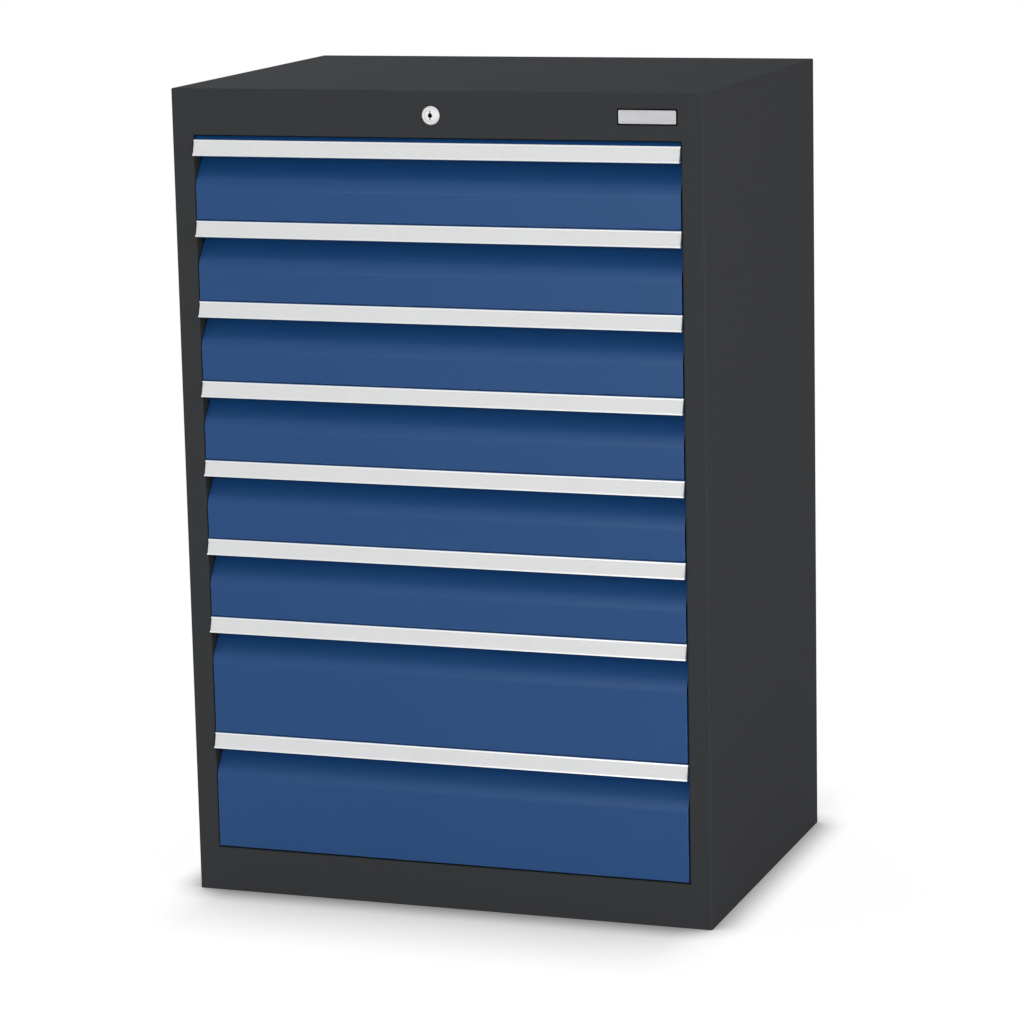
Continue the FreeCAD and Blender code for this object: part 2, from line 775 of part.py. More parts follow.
def lock_slide_guides():
    """Two hangers under the top, in which the slide bar lies."""
    rear = slide_rear + guide_play
    front = slide_front - guide_play
    low = lock_height - cam_radius - cam_pin_diameter / 2 - pin_play - slide_land - guide_play
    section = sheet_face([(rear + slide_guide_flange, underside, 0), (rear, underside, 0), (rear, low, 0),
                          (front, low, 0), (front, low + slide_guide_lip, 0)], guide_sheet)
    places = [share * opening_half for share in slide_guide_shares]
    return group([along_x(section, place - slide_guide_width / 2, place + slide_guide_width / 2)
                  for place in places])


def nameplate():
    right = opening_half - plate_side_margin
    left = right - plate_width
    middle = case_height - plate_drop
    low = middle - plate_tall / 2
    high = middle + plate_tall / 2
    outline = [(left, low, plate_round), (right, low, plate_round),
               (right, high, plate_round), (left, high, plate_round)]
    return along_y(plate_face(outline, flats_below=2 * plate_round), -plate_sheet, 0)


# Write every piece

def write(node, shape, lift=0.0):
    placed = shape.copy()
    placed.translate(Vector(0, front_plane, lift))
    placed.exportStep("parts/" + node + ".step")


os.makedirs("parts", exist_ok=True)

right_panel = right_side_panel()
write("right_side_panel", right_panel)
write("left_side_panel", mirrored(right_panel))
write("top_panel", top_panel())
write("back_panel", back_panel())
write("base_panel", base_panel())
write("front_top_rail", front_top_rail())
write("front_bottom_rail", front_bottom_rail())
write("runner_posts", runner_posts())

right_runners = case_runners()
write("case_runners_right", right_runners)
write("case_runners_left", mirrored(right_runners))

write("lock_housing", lock_housing())
write("lock_nut", lock_nut())
write("lock_plug", lock_plug())
write("lock_cam", lock_cam())
write("lock_cam_screw", lock_cam_screw())
write("lock_slide", lock_slide())
write("lock_slide_guides", lock_slide_guides())
write("lock_bar", lock_bar())
write("lock_bar_guides", lock_bar_guides())
write("nameplate", nameplate())

divider_slots = slot_places()
runners_of_one_drawer = middle_runners()
pieces_by_pitch = {}
for number, (pitch, level) in enumerate(zip(pitches, drawer_levels()), start=1):
    if pitch not in pieces_by_pitch:
        pieces_by_pitch[pitch] = {"tray": tray(pitch, divider_slots), "handle": handle(pitch),
                                  "label": label(pitch)}
    for name, shape in pieces_by_pitch[pitch].items():
        write("drawer_%d_%s" % (number, name), shape, level)
    write("drawer_%d_front" % number, drawer_front(pitch, number == 1), level)
    write("drawer_%d_middle_runners" % number, runners_of_one_drawer, level)

print("case height %.1f, drawer travel %.1f, lock bar travel %.2f" % (case_height, travel, slide_travel))
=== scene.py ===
import math

import bmesh
import bpy
from mathutils import Matrix, Vector


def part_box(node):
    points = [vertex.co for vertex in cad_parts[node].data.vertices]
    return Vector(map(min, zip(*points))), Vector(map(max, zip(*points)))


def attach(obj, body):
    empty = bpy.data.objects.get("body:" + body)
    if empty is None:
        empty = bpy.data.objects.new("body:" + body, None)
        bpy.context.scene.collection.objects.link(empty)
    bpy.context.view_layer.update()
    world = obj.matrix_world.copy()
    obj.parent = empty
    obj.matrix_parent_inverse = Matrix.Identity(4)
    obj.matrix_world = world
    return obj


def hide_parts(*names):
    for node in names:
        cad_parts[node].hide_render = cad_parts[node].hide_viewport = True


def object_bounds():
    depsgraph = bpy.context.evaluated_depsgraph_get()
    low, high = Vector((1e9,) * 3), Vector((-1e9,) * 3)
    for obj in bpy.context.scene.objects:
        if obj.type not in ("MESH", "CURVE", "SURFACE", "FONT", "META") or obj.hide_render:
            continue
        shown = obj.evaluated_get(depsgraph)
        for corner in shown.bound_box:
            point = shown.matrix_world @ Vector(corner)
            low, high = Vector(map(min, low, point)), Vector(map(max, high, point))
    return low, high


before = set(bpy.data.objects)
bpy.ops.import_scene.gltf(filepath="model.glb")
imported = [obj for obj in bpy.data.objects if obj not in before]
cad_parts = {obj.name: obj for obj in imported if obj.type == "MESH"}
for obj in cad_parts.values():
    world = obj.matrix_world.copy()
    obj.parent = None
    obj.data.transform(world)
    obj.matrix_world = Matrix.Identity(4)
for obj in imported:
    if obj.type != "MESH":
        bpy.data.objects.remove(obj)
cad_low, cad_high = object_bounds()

scene = bpy.context.scene
bpy.ops.object.select_all(action="DESELECT")


# Camera
# It stands where the photographer stood: a little to the right of the front, slightly
# above the top, nearly five metres away, and tipped by about one degree.

turn = math.radians(19.575)
rise = math.radians(11.244)
tilt = math.radians(-1.223)
sensor = 36.0
focus_in_pixels = 3834.853
picture_pixels = 1024
camera_place = (1.623389, -4.553224, 1.417497)

backwards = Vector((math.sin(turn) * math.cos(rise), -math.cos(turn) * math.cos(rise), math.sin(rise)))
level_right = Vector((math.cos(turn), math.sin(turn), 0.0))
level_up = backwards.cross(level_right)
right = level_right * math.cos(tilt) + level_up * math.sin(tilt)
up = level_up * math.cos(tilt) - level_right * math.sin(tilt)

camera_data = bpy.data.cameras.new("camera")
camera_data.sensor_width = sensor
camera_data.lens = focus_in_pixels * sensor / picture_pixels
camera_data.clip_start = 0.1
camera_data.clip_end = 100.0
camera = bpy.data.objects.new("camera", camera_data)
facing = Matrix((right, up, backwards)).transposed().to_4x4()
camera.matrix_world = Matrix.Translation(camera_place) @ facing
scene.collection.objects.link(camera)
scene.camera = camera


# Room
# A plain pale floor with a painted shadow at the object's foot, which turns white away from the object, a
# white surround, and four broad lamps: in front, at the right, overhead and behind. Colours render about
# as they are written.

soft_light = 0.45
full_white = 1.0
floor_size = 60.0
floor_grey = 0.80
contact_reach = 0.05
contact_power = 1.25
foot_reach = 0.21
foot_view = (0.0, 0.90, 0.44)
foot_from = 0.30
foot_to = 0.37
glow = 1.06
glow_share = 0.88
white_from = 0.7
white_to = 1.6


def new_lamp(name, place, aim, size, watts, tint=(1.0, 1.0, 1.0)):
    """A square soft lamp that points from its place to its aim."""
    data = bpy.data.lights.new(name, "AREA")
    data.shape = "SQUARE"
    data.size = size
    data.energy = watts
    data.color = tint
    lamp = bpy.data.objects.new(name, data)
    lamp.location = place
    lamp.rotation_euler = (Vector(aim) - Vector(place)).to_track_quat("-Z", "Y").to_euler()
    scene.collection.objects.link(lamp)


def feed(links, sockets, values):
    """Gives each socket its number, or links it to the output that stands for one."""
    for socket, value in zip(sockets, values):
        if isinstance(value, (int, float)):
            socket.default_value = value
        else:
            links.new(value, socket)


def joined(nodes, links, operation, one, other=0.0):
    """One arithmetic step between two values."""
    step = nodes.new("ShaderNodeMath")
    step.operation = operation
    feed(links, step.inputs, (one, other))
    return step.outputs[0]


def spread(nodes, links, value, low, high, from_low=0.3, from_high=0.7):
    """The same value, spread between two others."""
    ranged = nodes.new("ShaderNodeMapRange")
    ranged.inputs["From Min"].default_value = from_low
    ranged.inputs["From Max"].default_value = from_high
    ranged.inputs["To Min"].default_value = low
    ranged.inputs["To Max"].default_value = high
    links.new(value, ranged.inputs["Value"])
    return ranged.outputs["Result"]


def two_shaders(nodes, links, share, first, second):
    """One shader turning into another."""
    mix = nodes.new("ShaderNodeMixShader")
    feed(links, mix.inputs, (share, first, second))
    return mix.outputs[0]


def white_surround(name):
    """Soft light on the object, and plain white to the camera, to mirrors and to glass."""
    surround = bpy.data.worlds.new(name)
    surround.use_nodes = True
    nodes = surround.node_tree.nodes
    links = surround.node_tree.links
    nodes.clear()
    ray = nodes.new("ShaderNodeLightPath").outputs
    eye_or_mirror = joined(nodes, links, "MAXIMUM", ray["Is Camera Ray"], ray["Is Glossy Ray"])
    shown = joined(nodes, links, "MAXIMUM", eye_or_mirror, ray["Is Transmission Ray"])
    lights = []
    for strength in (soft_light, full_white):
        light = nodes.new("ShaderNodeBackground")
        light.inputs["Color"].default_value = (1.0, 1.0, 1.0, 1.0)
        light.inputs["Strength"].default_value = strength
        lights.append(light.outputs[0])
    out = nodes.new("ShaderNodeOutputWorld")
    links.new(two_shaders(nodes, links, shown, *lights), out.inputs["Surface"])
    return surround


def openness(nodes, reach, view=None):
    """1 where the floor is open, and less near what stands on it, as seen along the view."""
    occlusion = nodes.new("ShaderNodeAmbientOcclusion")
    occlusion.inputs["Distance"].default_value = reach
    occlusion.samples = 16
    if view:
        occlusion.inputs["Normal"].default_value = view
    return occlusion.outputs["AO"]


def pale_floor(name):
    """Matt pale grey under the object's light. The camera sees it glowing nearly white, with a shadow that
    is mostly painted from ambient occlusion, close all round the foot and longer in front, and all white
    further away."""
    pale = bpy.data.materials.new(name)
    pale.use_nodes = True
    nodes = pale.node_tree.nodes
    links = pale.node_tree.links
    nodes.clear()
    matt = nodes.new("ShaderNodeBsdfDiffuse")
    matt.inputs["Color"].default_value = (floor_grey, floor_grey, floor_grey, 1.0)
    spot = nodes.new("ShaderNodeTexCoord").outputs["Object"]
    # Painted shadow: ambient occlusion dims the floor's glow, close all round the foot and further in
    # front.
    painted_contact_shadow = joined(nodes, links, "POWER", openness(nodes, contact_reach), contact_power)
    axes = nodes.new("ShaderNodeSeparateXYZ")
    links.new(spot, axes.inputs[0])
    sideways = joined(nodes, links, "ABSOLUTE", axes.outputs["X"])
    painted_shadow_ahead = nodes.new("ShaderNodeMix")
    painted_shadow_ahead.inputs["B"].default_value = 1.0
    links.new(spread(nodes, links, sideways, 0.0, 1.0, foot_from, foot_to), painted_shadow_ahead.inputs["Factor"])
    links.new(openness(nodes, foot_reach, foot_view), painted_shadow_ahead.inputs["A"])
    shade = joined(nodes, links, "MULTIPLY", painted_contact_shadow, painted_shadow_ahead.outputs["Result"])
    lift = nodes.new("ShaderNodeEmission")
    links.new(joined(nodes, links, "MULTIPLY", shade, glow), lift.inputs["Strength"])
    near = two_shaders(nodes, links, glow_share, matt.outputs[0], lift.outputs[0])
    distance = nodes.new("ShaderNodeVectorMath")
    distance.operation = "LENGTH"
    links.new(spot, distance.inputs[0])
    away = spread(nodes, links, distance.outputs["Value"], 0.0, 1.0, white_from, white_to)
    plain_white = nodes.new("ShaderNodeEmission")
    plain_white.inputs["Strength"].default_value = full_white
    seen = two_shaders(nodes, links, away, near, plain_white.outputs[0])
    ray = nodes.new("ShaderNodeLightPath").outputs
    eye_or_mirror = joined(nodes, links, "MAXIMUM", ray["Is Camera Ray"], ray["Is Glossy Ray"])
    out = nodes.new("ShaderNodeOutputMaterial")
    links.new(two_shaders(nodes, links, eye_or_mirror, matt.outputs[0], seen), out.inputs["Surface"])
    return pale


new_lamp("lamp_front", place=(0.7, -5.0, 1.15), aim=(0.0, -0.1, 0.5), size=3.0, watts=118.0)
new_lamp("lamp_side", place=(4.2, -0.6, 1.6), aim=(0.2, 0.0, 0.5), size=2.6, watts=68.0)
new_lamp("lamp_overhead", place=(-0.4, 0.2, 5.0), aim=(0.0, 0.0, 1.0), size=3.0, watts=46.0,
         tint=(0.80, 1.0, 1.12))
new_lamp("lamp_rear", place=(-3.4, 3.6, 2.2), aim=(0.0, 0.0, 0.6), size=2.6, watts=105.0)
scene.world = white_surround("white_surround")

bpy.ops.mesh.primitive_plane_add(size=floor_size, location=(0.0, 0.0, 0.0))
floor = bpy.context.object
floor.name = "floor"
floor.data.materials.append(pale_floor("pale_floor"))


# Case
# Two sides, a top, a back, a base and two front rails of 1.5 mm sheet steel, welded and
# ground flush at the front, then powder coated anthracite inside and out.

case_colour = (0.0400, 0.0410, 0.0434)
case_thin_powder = (0.045, 0.046, 0.049)
case_roughness = (0.88, 0.96)
case_gloss = 0.01
case_half_width = cad_high[0]
case_top = cad_high[2]
case_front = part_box("front_top_rail")[0][1]
case_rear = cad_high[1]
case_edge = 0.0016
base_bends = (0.0022, 0.0007)
swage_smooth = 20.0
bend_length = 0.05
bend_flank = 0.0035
bend_angle = 1.0
sheet_narrow = 0.0006


def grain(nodes, links, place, scale, detail=2.0, stretch=None):
    """Noise at so many grains to the metre, pulled out along an axis where asked."""
    noise = nodes.new("ShaderNodeTexNoise")
    noise.inputs["Scale"].default_value = scale
    noise.inputs["Detail"].default_value = detail
    source = place.outputs["Object"]
    if stretch:
        pull = nodes.new("ShaderNodeMapping")
        pull.inputs["Scale"].default_value = stretch
        links.new(source, pull.inputs["Vector"])
        source = pull.outputs["Vector"]
    links.new(source, noise.inputs["Vector"])
    return noise.outputs["Fac"]


def two_colours(nodes, links, share, first, second):
    """One colour turning into another."""
    mix = nodes.new("ShaderNodeMix")
    mix.data_type = "RGBA"
    mix.inputs["A"].default_value = (*first, 1.0)
    mix.inputs["B"].default_value = (*second, 1.0)
    links.new(share, mix.inputs["Factor"])
    return mix.outputs["Result"]


def new_finish(name):
    """A new material, with its nodes, links and shader and the piece's own coordinates."""
    finish = bpy.data.materials.new(name)
    finish.use_nodes = True
    nodes = finish.node_tree.nodes
    return finish, nodes, finish.node_tree.links, nodes["Principled BSDF"], nodes.new("ShaderNodeTexCoord")


def rippled(nodes, links, shader, height, strength, depth):
    """Fine relief over the whole surface."""
    skin = nodes.new("ShaderNodeBump")
    skin.inputs["Strength"].default_value = strength
    skin.inputs["Distance"].default_value = depth
    links.new(height, skin.inputs["Height"])
    links.new(skin.outputs["Normal"], shader.inputs["Normal"])


def powder_coat(name, colour, thin, edge_of, roughness, level):
    """Powder coat: fine orange peel, slightly uneven gloss, and a lighter, duller line on
    the edges, where the powder is thin."""
    paint, nodes, links, shader, place = new_finish(name)
    clouds = grain(nodes, links, place, 5.0, 3.0)
    specks = grain(nodes, links, place, 420.0, 2.0)
    peel = grain(nodes, links, place, 620.0, 1.5)
    rubbed = grain(nodes, links, place, 60.0, 4.0)
    edge = edge_of(nodes, links, place)
    worn = joined(nodes, links, "MULTIPLY", edge, spread(nodes, links, rubbed, 0.15, 0.9, 0.4, 0.68))
    shade = joined(nodes, links, "ADD", spread(nodes, links, clouds, 0.0, 0.045),
                   spread(nodes, links, specks, 0.0, 0.05))
    uneven = joined(nodes, links, "MAXIMUM", shade, worn)
    links.new(two_colours(nodes, links, uneven, colour, thin), shader.inputs["Base Color"])
    gloss = joined(nodes, links, "ADD", spread(nodes, links, clouds, roughness[0], roughness[1] - 0.04),
                   spread(nodes, links, specks, 0.0, 0.04))
    dull = joined(nodes, links, "ADD", gloss, joined(nodes, links, "MULTIPLY", worn, 0.12))
    links.new(dull, shader.inputs["Roughness"])
    shader.inputs["Specular IOR Level"].default_value = level
    rippled(nodes, links, shader, peel, 0.22, 0.00012)
    return paint


def case_edges(nodes, links, place):
    """1 along the long outer edges of the case, and 0 elsewhere."""
    axes = nodes.new("ShaderNodeSeparateXYZ")
    links.new(place.outputs["Object"], axes.inputs[0])
    from_middle = joined(nodes, links, "SUBTRACT", axes.outputs["Y"], (case_front + case_rear) / 2)

    def at_edge(value, outside):
        return spread(nodes, links, value, 0.0, 1.0, outside - case_edge, outside - case_edge / 3)

    side = at_edge(joined(nodes, links, "ABSOLUTE", axes.outputs["X"]), case_half_width)
    face = at_edge(joined(nodes, links, "ABSOLUTE", from_middle), (case_rear - case_front) / 2)
    lid = at_edge(axes.outputs["Z"], case_top)
    upright = joined(nodes, links, "MULTIPLY", side, face)
    level = joined(nodes, links, "MULTIPLY", lid, joined(nodes, links, "MAXIMUM", side, face))
    return joined(nodes, links, "MAXIMUM", upright, level)


def work_on(piece):
    """Makes the piece the one that the next operators work on."""
    bpy.ops.object.select_all(action="DESELECT")
    piece.select_set(True)
    bpy.context.view_layer.objects.active = piece


def open_mesh(kind):
    """Starts edit mode, to pick faces or edges."""
    bpy.ops.object.mode_set(mode="EDIT")
    bpy.ops.mesh.select_mode(type=kind)


def close_mesh():
    """Ends edit mode."""
    bpy.ops.object.mode_set(mode="OBJECT")


def pick(piece, kind, test):
    """In edit mode, selects the faces or edges whose middle passes the test."""
    bpy.ops.mesh.select_all(action="DESELECT")
    shape = bmesh.from_edit_mesh(piece.data)
    count = 0
    for item in (shape.faces if kind == "faces" else shape.edges):
        middle = sum((vertex.co for vertex in item.verts), Vector()) / len(item.verts)
        if test(item, middle):
            item.select_set(True)
            count += 1
    shape.select_flush_mode()
    bmesh.update_edit_mesh(piece.data)
    if not count:
        raise ValueError("nothing was picked on " + piece.name)


def rounded(radius, steps):
    """Rounds the picked edges."""
    bpy.ops.mesh.bevel(offset=radius, segments=steps, profile=0.5)


def apply_all(piece):
    """Makes the piece's modifiers part of its mesh."""
    work_on(piece)
    for modifier in list(piece.modifiers):
        bpy.ops.object.modifier_apply(modifier=modifier.name)


def soften(piece, width, segments=2, angle=40.0):
    """Takes the sharpness off every edge that turns by more than the angle."""
    rounding = piece.modifiers.new("rounding", "BEVEL")
    rounding.width = width
    rounding.segments = segments
    rounding.limit_method = "ANGLE"
    rounding.angle_limit = math.radians(angle)
    apply_all(piece)


def mark_edges(piece, widest):
    """A face attribute, 1 on the narrow rounded faces and 0 on the broad ones."""
    mark = piece.data.attributes.new("edge", "FLOAT", "FACE")
    for face in piece.data.polygons:
        corners = [piece.data.vertices[i].co for i in face.vertices]
        longest = max((corners[i] - corners[i - 1]).length for i in range(len(corners)))
        mark.data[face.index].value = 1.0 if face.area < widest * longest else 0.0


def smooth_by_angle(piece, degrees=32.0):
    """Smooth shading across shallow angles, with broad faces kept flat."""
    work_on(piece)
    bpy.ops.object.shade_smooth_by_angle(angle=math.radians(degrees))
    flat = piece.modifiers.new("flat", "WEIGHTED_NORMAL")
    flat.keep_sharp = True
    apply_all(piece)


def is_bend(edge):
    """A long edge with a broad face on each side, at about a right angle."""
    length = edge.calc_length()
    return (length > bend_length and len(edge.link_faces) == 2 and edge.calc_face_angle() > bend_angle
            and all(face.calc_area() / length > bend_flank for face in edge.link_faces))


def bent_sheet(node, body, paint, bends=None, worn=0.0, degrees=32.0):
    """A smooth copy of a sheet of the construction. Bends that are still sharp get their
    outer and inner radii, and the cut edges are broken where that shows."""
    piece = bpy.data.objects.new(node + "_sheet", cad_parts[node].data.copy())
    piece.data.name = piece.name
    scene.collection.objects.link(piece)
    work_on(piece)
    open_mesh("EDGE")
    bpy.ops.mesh.select_all(action="SELECT")
    bpy.ops.mesh.remove_doubles(threshold=0.00001)
    bpy.ops.mesh.dissolve_limited(angle_limit=math.radians(0.5))
    bpy.ops.mesh.normals_make_consistent(inside=False)
    if bends:
        outer, inner = bends
        pick(piece, "edges", lambda e, m: is_bend(e) and e.is_convex)
        rounded(outer, 5)
        pick(piece, "edges", lambda e, m: is_bend(e) and not e.is_convex)
        rounded(inner, 3)
    close_mesh()
    if worn:
        soften(piece, worn, segments=1, angle=50.0)
    mark_edges(piece, sheet_narrow)
    smooth_by_angle(piece, degrees)
    piece.data.materials.clear()
    piece.data.materials.append(paint)
    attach(piece, body)
    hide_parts(node)
    return piece


case_paint = powder_coat("anthracite_powder_coat", case_colour, case_thin_powder, case_edges,
                         case_roughness, case_gloss)

for node in ("left_side_panel", "right_side_panel", "top_panel", "front_top_rail", "front_bottom_rail"):
    bent_sheet(node, "case", case_paint)
bent_sheet("back_panel", "case", case_paint, degrees=swage_smooth)
bent_sheet("base_panel", "case", case_paint, base_bends)


# Runners inside the case
# Hat-section posts welded to the sides and channels hooked into them, all in zinc-plated
# steel that was never painted.

zinc_light = (0.56, 0.575, 0.59)
zinc_dark = (0.36, 0.375, 0.40)
post_bends = (0.0022, 0.0007)
runner_bends = (0.0017, 0.0006)
cut_edge = 0.0002


def zinc_plate(name):
    """Bright zinc: a faint crystal pattern, fine rolling lines, uneven gloss."""
    metal, nodes, links, shader, place = new_finish(name)
    shader.inputs["Metallic"].default_value = 1.0
    flakes = nodes.new("ShaderNodeTexVoronoi")
    flakes.inputs["Scale"].default_value = 95.0
    links.new(place.outputs["Object"], flakes.inputs["Vector"])
    tone = nodes.new("ShaderNodeSeparateColor")
    links.new(flakes.outputs["Color"], tone.inputs[0])
    clouds = grain(nodes, links, place, 14.0, 3.0)
    lines = grain(nodes, links, place, 900.0, 2.0, (1.0, 0.02, 1.0))
    share = joined(nodes, links, "ADD", spread(nodes, links, tone.outputs[0], 0.0, 0.35, 0.0, 1.0),
                   spread(nodes, links, clouds, 0.0, 0.4))
    links.new(two_colours(nodes, links, share, zinc_light, zinc_dark), shader.inputs["Base Color"])
    links.new(joined(nodes, links, "ADD", spread(nodes, links, clouds, 0.30, 0.46),
                     spread(nodes, links, lines, 0.0, 0.1)), shader.inputs["Roughness"])
    rippled(nodes, links, shader, lines, 0.15, 0.0001)
    return metal


zinc = zinc_plate("zinc_plated_steel")
bent_sheet("runner_posts", "case", zinc, post_bends, cut_edge)
for node in ("case_runners_left", "case_runners_right"):
    bent_sheet(node, "case", zinc, runner_bends, cut_edge)

for node in ("lock_nut", "lock_cam", "lock_cam_screw", "lock_slide", "lock_slide_guides", "lock_bar",
             "lock_bar_guides"):
    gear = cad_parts[node].data
    gear.materials.clear()
    gear.materials.append(zinc)


# Middle runners
# Each drawer has two steel plates that carry it half way out. Four nylon rollers on each
# turn on riveted pins: two run in the channel of the case, two in the channel of the tray.

drawer_numbers = range(1, 9)
plate_half = 0.0125
plate_from = 0.033
plate_to = 0.457
plate_inner = 0.3096
plate_outer = 0.3116
plate_round = 0.006
plate_cut = 0.0003
roller_radius = 0.009
roller_width = 0.0060
roller_room = 0.0003
roller_edge = 0.0004
roller_sides = 32
dish_rim = 0.0016
dish_deep = 0.0009
dish_wide = 0.0022
hub_rise = 0.0008
pin_radius = 0.0034
pin_head = 0.0004
pin_edge = 0.0002
pin_sides = 20
outer_rollers = (0.234, 0.445)
inner_rollers = (0.045, 0.220)
runner_narrow = 0.0005
round_smooth = 40.0
quarter = math.pi / 2

nylon_white = (0.62, 0.61, 0.58)
nylon_worn = (0.46, 0.45, 0.42)


def marked_edges(nodes, links, place):
    """The mark that mark_edges left on the narrow faces."""
    mark = nodes.new("ShaderNodeAttribute")
    mark.attribute_name = "edge"
    return mark.outputs["Fac"]


def nylon_plastic(name):
    """Moulded nylon: a waxy, slightly cloudy white with fine turning marks."""
    plastic, nodes, links, shader, place = new_finish(name)
    clouds = grain(nodes, links, place, 120.0, 3.0)
    fine = grain(nodes, links, place, 1400.0, 2.0)
    edge = marked_edges(nodes, links, place)
    share = joined(nodes, links, "ADD", spread(nodes, links, clouds, 0.0, 0.5),
                   joined(nodes, links, "MULTIPLY", edge, 0.35))
    links.new(two_colours(nodes, links, share, nylon_white, nylon_worn), shader.inputs["Base Color"])
    links.new(spread(nodes, links, fine, 0.38, 0.55), shader.inputs["Roughness"])
    rippled(nodes, links, shader, fine, 0.15, 0.00005)
    return plastic


def new_mesh_object(name):
    """Names the primitive that was just added, and puts its size and place in its mesh."""
    made = bpy.context.object
    made.name = name
    made.data.name = name
    bpy.ops.object.transform_apply(location=True, rotation=True, scale=True)
    return made


def new_block(name, x0, x1, y0, y1, z0, z1):
    """A cube, set to its real corners."""
    bpy.ops.mesh.primitive_cube_add(size=1.0, location=((x0 + x1) / 2, (y0 + y1) / 2, (z0 + z1) / 2))
    bpy.context.object.scale = (x1 - x0, y1 - y0, z1 - z0)
    return new_mesh_object(name)


def round_bar(name, radius, x0, x1, y, z, sides):
    """A round bar along X."""
    bpy.ops.mesh.primitive_cylinder_add(vertices=sides, radius=radius, depth=abs(x1 - x0),
                                        location=((x0 + x1) / 2, y, z), rotation=(0.0, quarter, 0.0))
    return new_mesh_object(name)


def runs_along(edge, axis):
    """Whether an edge runs along X, Y or Z, which are 0, 1 and 2."""
    way = edge.verts[1].co - edge.verts[0].co
    return abs(way[axis]) > 0.99 * way.length


def looks_along(face, axis, way):
    """Whether a face looks along X, Y or Z, which are 0, 1 and 2, forwards or backwards."""
    return face.normal[axis] * way > 0.9


def drawn_out(shift):
    """Extrudes what is picked."""
    bpy.ops.mesh.extrude_region_move(TRANSFORM_OT_translate={"value": shift})


def merged_into(piece, others):
    """Joins the others to the piece as one object."""
    work_on(piece)
    for other in others:
        other.select_set(True)
    bpy.ops.object.join()


def copied(piece, name, shift):
    """A copy with its own mesh, moved in the mesh."""
    twin = piece.copy()
    twin.data = piece.data.copy()
    twin.name = name
    twin.data.name = name
    twin.data.transform(Matrix.Translation(shift))
    scene.collection.objects.link(twin)
    return twin


def runner_plate(side):
    """A plate with round ends, at the left or at the right."""
    faces = sorted((side * plate_inner, side * plate_outer))
    plate = new_block("runner_plate", *faces, plate_from, plate_to, -plate_half, plate_half)
    open_mesh("EDGE")
    pick(plate, "edges", lambda e, m: runs_along(e, 0))
    rounded(plate_round, 8)
    close_mesh()
    soften(plate, plate_cut)
    return plate


def roller(side, start, outwards, y):
    """A roller with a raised hub, on the side of the plate it stands on."""
    way = side * outwards
    disc = round_bar("roller", roller_radius, side * start + way * roller_room,
                     side * start + way * (roller_room + roller_width), y, 0.0, roller_sides)
    open_mesh("FACE")
    pick(disc, "faces", lambda f, m: looks_along(f, 0, way))
    bpy.ops.mesh.inset(thickness=dish_rim)
    drawn_out((-way * dish_deep, 0.0, 0.0))
    bpy.ops.mesh.inset(thickness=dish_wide)
    drawn_out((way * hub_rise, 0.0, 0.0))
    close_mesh()
    soften(disc, roller_edge)
    return disc


def pin(side, start, outwards, y):
    """A riveted pin, its head on the roller's hub."""
    way = side * outwards
    face = side * start + way * (roller_room + roller_width)
    head = round_bar("pin", pin_radius, face - way * pin_head, face + way * pin_head, y, 0.0, pin_sides)
    soften(head, pin_edge)
    return head


def runner_height(number):
    """Height of the middle of a drawer's middle runners."""
    low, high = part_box("drawer_%d_middle_runners" % number)
    return (low[2] + high[2]) / 2


plates = [runner_plate(side) for side in (-1.0, 1.0)]
rollers = []
for side in (-1.0, 1.0):
    for start, outwards, places in ((plate_outer, 1.0, outer_rollers), (plate_inner, -1.0, inner_rollers)):
        for y in places:
            rollers.append(roller(side, start, outwards, y))
            plates.append(pin(side, start, outwards, y))
merged_into(plates[0], plates[1:])
merged_into(rollers[0], rollers[1:])
nylon = nylon_plastic("white_nylon")
for piece, material in ((plates[0], zinc), (rollers[0], nylon)):
    mark_edges(piece, runner_narrow)
    smooth_by_angle(piece, round_smooth)
    piece.data.materials.append(material)

for number in drawer_numbers:
    shift = (0.0, case_front, runner_height(number))
    moving = "middle_runners_%d" % number
    steel = copied(plates[0], "drawer_%d_runner_plates" % number, shift)
    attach(steel, moving)
    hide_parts("drawer_%d_middle_runners" % number)
    wheels = copied(rollers[0], "drawer_%d_rollers" % number, shift)
    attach(wheels, moving)
bpy.data.objects.remove(plates[0])
bpy.data.objects.remove(rollers[0])


# Trays
# Spot-welded boxes of 1 mm sheet with slotted sides for dividers, a hem along each side
# and a runner channel below it, powder coated light grey.

tray_colour = (0.47, 0.48, 0.49)
tray_thin_powder = (0.60, 0.61, 0.62)
tray_inner = 0.300
tray_roughness = (0.45, 0.6)
tray_gloss = 0.4
tray_bends = (0.0016, 0.0005)
tray_cut = 0.00015
weld_radius = 0.0024
weld_proud = 0.00012
weld_sunk = 0.0003
weld_edge = 0.00008
weld_from = 0.060
weld_pitch = 0.0484
welds_in_row = 8
weld_sides = 14

tray_paint = powder_coat("light_grey_powder_coat", tray_colour, tray_thin_powder, marked_edges,
                         tray_roughness, tray_gloss)

welds = []
for side in (-1.0, 1.0):
    for step in range(welds_in_row):
        spot_weld = round_bar("weld", weld_radius, side * (tray_inner - weld_proud),
                              side * (tray_inner + weld_sunk), weld_from + weld_pitch * step, 0.0,
                              weld_sides)
        soften(spot_weld, weld_edge, segments=1)
        welds.append(spot_weld)
merged_into(welds[0], welds[1:])

for number in drawer_numbers:
    tray = bent_sheet("drawer_%d_tray" % number, "drawer_%d" % number, tray_paint,
                      tray_bends, tray_cut)
    merged_into(tray, [copied(welds[0], "weld_row", (0.0, case_front, runner_height(number)))])
bpy.data.objects.remove(welds[0])


# Drawer fronts
# One sheet of 1.2 mm steel each: folded back at the bottom and the sides, rolled back into
# the finger recess above, and folded forward again over the handle. Powder coated blue.

